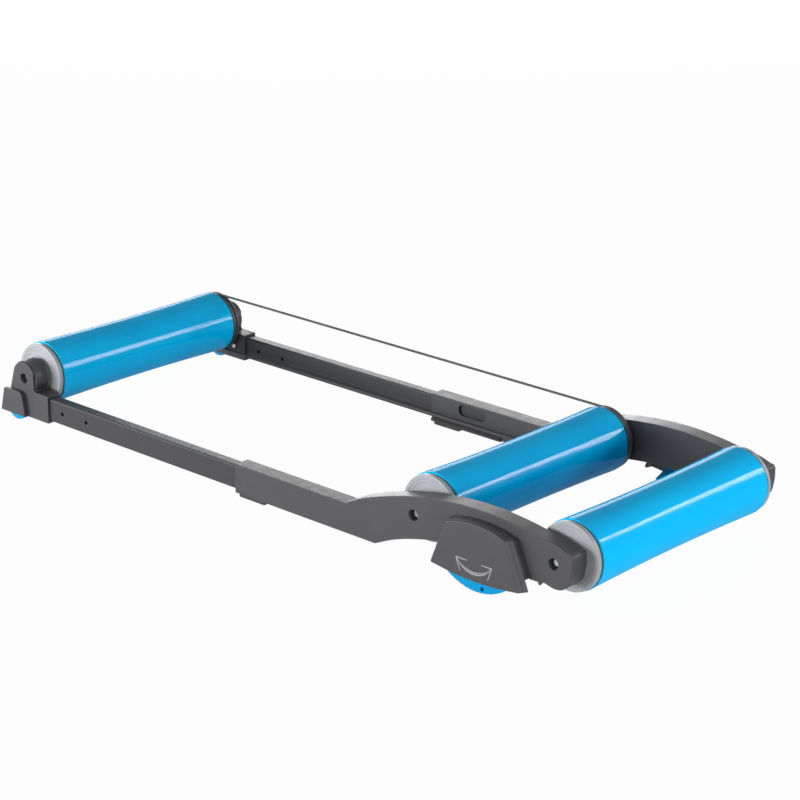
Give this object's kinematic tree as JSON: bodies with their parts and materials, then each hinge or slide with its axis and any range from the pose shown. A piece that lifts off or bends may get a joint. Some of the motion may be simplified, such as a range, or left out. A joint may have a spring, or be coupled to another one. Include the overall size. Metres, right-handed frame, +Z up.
{
  "type": "bicycle training rollers",
  "caption": "Folding bicycle rollers: blue waisted drums across two telescopic side members, a belt drive on one side, swinging feet under covers.",
  "frame": {"origin": "middle of the machine's bounding box, on the floor", "axes": "+X from the front drum to the rear drum, +Y towards the belt side, +Z up"},
  "size_m": [1.2582, 0.532, 0.1315],
  "materials": {
    "blue_abs": "smooth moulded, semi-gloss",
    "grey_nylon": "satin moulded",
    "dark_grey_nylon": "satin moulded",
    "charcoal_nylon": "fine texture, satin",
    "black_enamel": "satin black powder coat on steel",
    "black_rubber": "matte",
    "black_nylon": "matte moulded",
    "belt_rubber": "matte round cord",
    "zinc_plated_steel": "bright zinc plate"
  },
  "bodies": {
    "rear_frame": {"left_rear_arm": "charcoal_nylon", "left_rear_foot_cover": "charcoal_nylon", "left_rocker_pin": "zinc_plated_steel", "left_lever_pin": "zinc_plated_steel", "left_lever_spring": "zinc_plated_steel", "right_rear_arm": "charcoal_nylon", "right_rear_foot_cover": "charcoal_nylon", "right_rocker_pin": "zinc_plated_steel", "right_lever_pin": "zinc_plated_steel", "right_lever_spring": "zinc_plated_steel", "middle_axle": "zinc_plated_steel", "rear_axle": "zinc_plated_steel", "middle_left_axle_screw": "zinc_plated_steel", "middle_right_axle_screw": "zinc_plated_steel", "rear_left_axle_screw": "zinc_plated_steel", "rear_right_axle_screw": "zinc_plated_steel", "drive_belt": "belt_rubber"},
    "front_frame": {"left_inner_rail": "black_enamel", "left_rail_end_stop": "black_nylon", "left_front_bracket": "charcoal_nylon", "left_front_foot_cover": "charcoal_nylon", "left_bracket_screw": "zinc_plated_steel", "left_wheel_pin": "zinc_plated_steel", "right_inner_rail": "black_enamel", "right_rail_end_stop": "black_nylon", "right_front_bracket": "charcoal_nylon", "right_front_foot_cover": "charcoal_nylon", "right_bracket_screw": "zinc_plated_steel", "right_wheel_pin": "zinc_plated_steel", "front_axle": "zinc_plated_steel", "front_left_axle_screw": "zinc_plated_steel", "front_right_axle_screw": "zinc_plated_steel"},
    "front_drum": {"front_drum_shell": "blue_abs", "front_left_end_cap": "grey_nylon", "front_left_seal_ring": "black_rubber", "front_left_bearing": "zinc_plated_steel", "front_right_end_cap": "dark_grey_nylon", "front_right_seal_ring": "black_rubber", "front_right_bearing": "zinc_plated_steel"},
    "middle_drum": {"middle_drum_shell": "blue_abs", "middle_left_end_cap": "grey_nylon", "middle_left_seal_ring": "black_rubber", "middle_left_bearing": "zinc_plated_steel", "middle_right_end_cap": "dark_grey_nylon", "middle_right_seal_ring": "black_rubber", "middle_right_bearing": "zinc_plated_steel"},
    "rear_drum": {"rear_drum_shell": "blue_abs", "rear_left_end_cap": "grey_nylon", "rear_left_seal_ring": "black_rubber", "rear_left_bearing": "zinc_plated_steel", "rear_right_end_cap": "grey_nylon", "rear_right_seal_ring": "black_rubber", "rear_right_bearing": "zinc_plated_steel"},
    "left_rocker": {"left_rear_foot_rocker": "blue_abs"},
    "left_wheel": {"left_front_foot_wheel": "blue_abs"},
    "left_lever": {"left_release_lever": "black_nylon"},
    "right_rocker": {"right_rear_foot_rocker": "blue_abs"},
    "right_wheel": {"right_front_foot_wheel": "blue_abs"},
    "right_lever": {"right_release_lever": "black_nylon"}
  },
  "joints": [
    {"name": "frame_slide", "type": "slide", "parent": "rear_frame", "child": "front_frame", "axis": [1, 0, 0], "range_m": [-0.09, 0.45], "deforming": ["drive_belt"]},
    {"name": "front_drum_spin", "type": "hinge", "parent": "front_frame", "child": "front_drum", "pos_m": [-0.57478, 0, 0.078], "axis": [0, 1, 0], "continuous": true},
    {"name": "middle_drum_spin", "type": "hinge", "parent": "rear_frame", "child": "middle_drum", "pos_m": [0.31372, 0, 0.078], "axis": [0, 1, 0], "continuous": true},
    {"name": "rear_drum_spin", "type": "hinge", "parent": "rear_frame", "child": "rear_drum", "pos_m": [0.57571, 0, 0.078], "axis": [0, 1, 0], "continuous": true},
    {"name": "left_rocker_swing", "type": "hinge", "parent": "rear_frame", "child": "left_rocker", "pos_m": [0.44472, -0.2486, 0.08], "axis": [0, 1, 0], "range_deg": [-12, 12]},
    {"name": "left_wheel_turn", "type": "hinge", "parent": "front_frame", "child": "left_wheel", "pos_m": [-0.59779, -0.2364, 0.0245], "axis": [0, 1, 0], "continuous": true},
    {"name": "left_lever_release", "type": "hinge", "parent": "rear_frame", "child": "left_lever", "pos_m": [0.09721, -0.23, 0.01335], "axis": [0, -1, 0], "range_deg": [0, 2.2], "stiffness_Nm_per_rad": 0.5, "springref_deg": -5.73},
    {"name": "right_rocker_swing", "type": "hinge", "parent": "rear_frame", "child": "right_rocker", "pos_m": [0.44472, 0.2486, 0.08], "axis": [0, 1, 0], "range_deg": [-12, 12]},
    {"name": "right_wheel_turn", "type": "hinge", "parent": "front_frame", "child": "right_wheel", "pos_m": [-0.59779, 0.2364, 0.0245], "axis": [0, 1, 0], "continuous": true},
    {"name": "right_lever_release", "type": "hinge", "parent": "rear_frame", "child": "right_lever", "pos_m": [0.09721, 0.23, 0.01335], "axis": [0, -1, 0], "range_deg": [0, 2.2], "stiffness_Nm_per_rad": 0.5, "springref_deg": -5.73}
  ],
  "couplings": [
    {"joint": "front_drum_spin", "follows": "middle_drum_spin", "ratio": 1}
  ]
}
